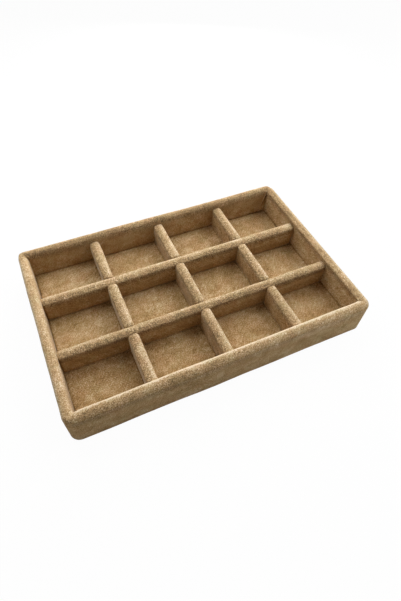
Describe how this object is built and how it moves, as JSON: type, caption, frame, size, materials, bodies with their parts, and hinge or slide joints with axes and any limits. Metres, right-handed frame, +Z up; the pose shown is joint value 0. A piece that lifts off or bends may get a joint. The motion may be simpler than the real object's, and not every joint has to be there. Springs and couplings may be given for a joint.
{
  "type": "jewelry tray",
  "caption": "Low open rectangular tray wrapped in beige velvet, parted by padded dividers into a grid of square-ish compartments for rings and other small jewelry.",
  "frame": {"origin": "middle of the underside, on the surface the tray stands on", "axes": "+X along the long side to the right, +Y across the tray to the back, +Z up"},
  "size_m": [0.22, 0.146, 0.028],
  "materials": {
    "velvet": "short plush beige velvet with a mottled, brushed nap",
    "fibreboard": "raw medium-density fibreboard, sawn edges",
    "greyboard": "plain grey bookbinder's board",
    "felt": "thin needled felt, matt"
  },
  "bodies": {
    "root": {"underside_felt": "felt", "base_board": "fibreboard", "wall_board_front": "fibreboard", "wall_board_back": "fibreboard", "wall_board_right": "fibreboard", "wall_board_left": "fibreboard", "velvet_wrap": "velvet", "floor_card": "greyboard", "floor_velvet": "velvet", "long_divider_board_front": "fibreboard", "long_divider_velvet_front": "velvet", "long_divider_board_back": "fibreboard", "long_divider_velvet_back": "velvet", "short_divider_board_front_left": "fibreboard", "short_divider_velvet_front_left": "velvet", "short_divider_board_front_centre": "fibreboard", "short_divider_velvet_front_centre": "velvet", "short_divider_board_front_right": "fibreboard", "short_divider_velvet_front_right": "velvet", "short_divider_board_middle_left": "fibreboard", "short_divider_velvet_middle_left": "velvet", "short_divider_board_middle_centre": "fibreboard", "short_divider_velvet_middle_centre": "velvet", "short_divider_board_middle_right": "fibreboard", "short_divider_velvet_middle_right": "velvet", "short_divider_board_back_left": "fibreboard", "short_divider_velvet_back_left": "velvet", "short_divider_board_back_centre": "fibreboard", "short_divider_velvet_back_centre": "velvet", "short_divider_board_back_right": "fibreboard", "short_divider_velvet_back_right": "velvet"}
  },
  "joints": []
}
